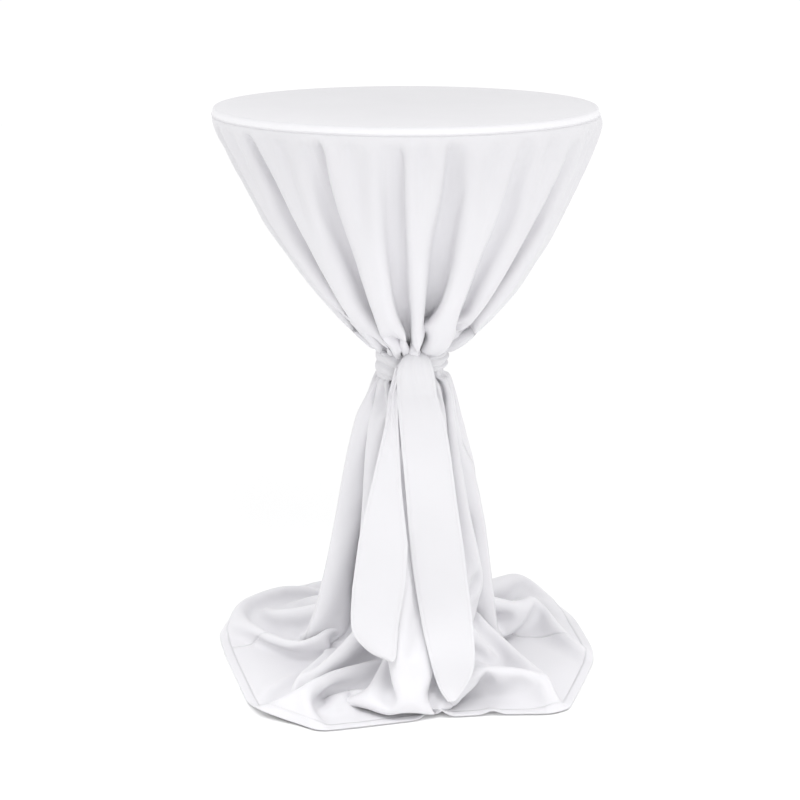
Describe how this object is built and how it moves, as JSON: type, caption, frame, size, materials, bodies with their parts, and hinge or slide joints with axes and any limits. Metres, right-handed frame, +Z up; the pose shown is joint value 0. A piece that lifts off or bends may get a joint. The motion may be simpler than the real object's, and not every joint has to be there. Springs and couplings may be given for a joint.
{
  "type": "tablecloth on a table",
  "caption": "Floor-length cloth on a round bar-height table, gathered at the waist by a tied sash, with its hem pooling on the floor.",
  "frame": {"origin": "on the floor, on the axis of the table's column", "axes": "+Z up, -Y towards the side with the sash's knot, +X to the right as seen from that side"},
  "size_m": [0.7239, 0.724, 1.1015],
  "materials": {
    "cloth_white": "matte plain weave",
    "cord_white": "matte covered cord",
    "sash_white": "matte plain weave",
    "board": "particle board, satin laminate",
    "edge_band": "satin",
    "steel_black": "fine textured powder coat",
    "zinc_steel": "zinc plated",
    "cast_base": "painted, fine cast texture",
    "trim_black": "matte",
    "glide_black": "matte"
  },
  "bodies": {
    "table_and_cloth": {"table_top_board": "board", "table_edge_band": "edge_band", "top_plate": "steel_black", "top_plate_screws": "zinc_steel", "column_tube": "steel_black", "tie_rod": "zinc_steel", "tie_rod_nuts": "zinc_steel", "tie_rod_washers": "zinc_steel", "base_hub": "cast_base", "hub_collar": "trim_black", "base_arm_front_left": "cast_base", "base_arm_front_right": "cast_base", "base_arm_back_left": "cast_base", "base_arm_back_right": "cast_base", "arm_bolts": "zinc_steel", "cloth_top_panel": "cloth_white", "rim_cord": "cord_white", "skirt_front_upper": "cloth_white", "skirt_front_lower": "cloth_white", "skirt_front_pool": "cloth_white", "skirt_back_upper": "cloth_white", "skirt_back_lower": "cloth_white", "skirt_back_pool": "cloth_white", "skirt_hem": "cloth_white", "sash_wrap": "sash_white", "sash_knot": "sash_white"},
    "sash_tail_left": {"sash_tail_left": "sash_white"},
    "sash_tail_right": {"sash_tail_right": "sash_white"},
    "glide_front_left": {"glide_front_left": "glide_black"},
    "glide_front_right": {"glide_front_right": "glide_black"},
    "glide_back_left": {"glide_back_left": "glide_black"},
    "glide_back_right": {"glide_back_right": "glide_black"}
  },
  "joints": [
    {"name": "left_tail_swing", "type": "hinge", "parent": "table_and_cloth", "child": "sash_tail_left", "pos_m": [-0.028, -0.083, 0.582], "axis": [-1, 0, 0], "range_deg": [0, 75]},
    {"name": "right_tail_swing", "type": "hinge", "parent": "table_and_cloth", "child": "sash_tail_right", "pos_m": [0.023, -0.083, 0.582], "axis": [-1, 0, 0], "range_deg": [0, 75]},
    {"name": "front_left_glide_level", "type": "slide", "parent": "table_and_cloth", "child": "glide_front_left", "axis": [0, 0, -1], "range_m": [0, 0.01]},
    {"name": "front_right_glide_level", "type": "slide", "parent": "table_and_cloth", "child": "glide_front_right", "axis": [0, 0, -1], "range_m": [0, 0.01]},
    {"name": "back_left_glide_level", "type": "slide", "parent": "table_and_cloth", "child": "glide_back_left", "axis": [0, 0, -1], "range_m": [0, 0.01]},
    {"name": "back_right_glide_level", "type": "slide", "parent": "table_and_cloth", "child": "glide_back_right", "axis": [0, 0, -1], "range_m": [0, 0.01]}
  ]
}
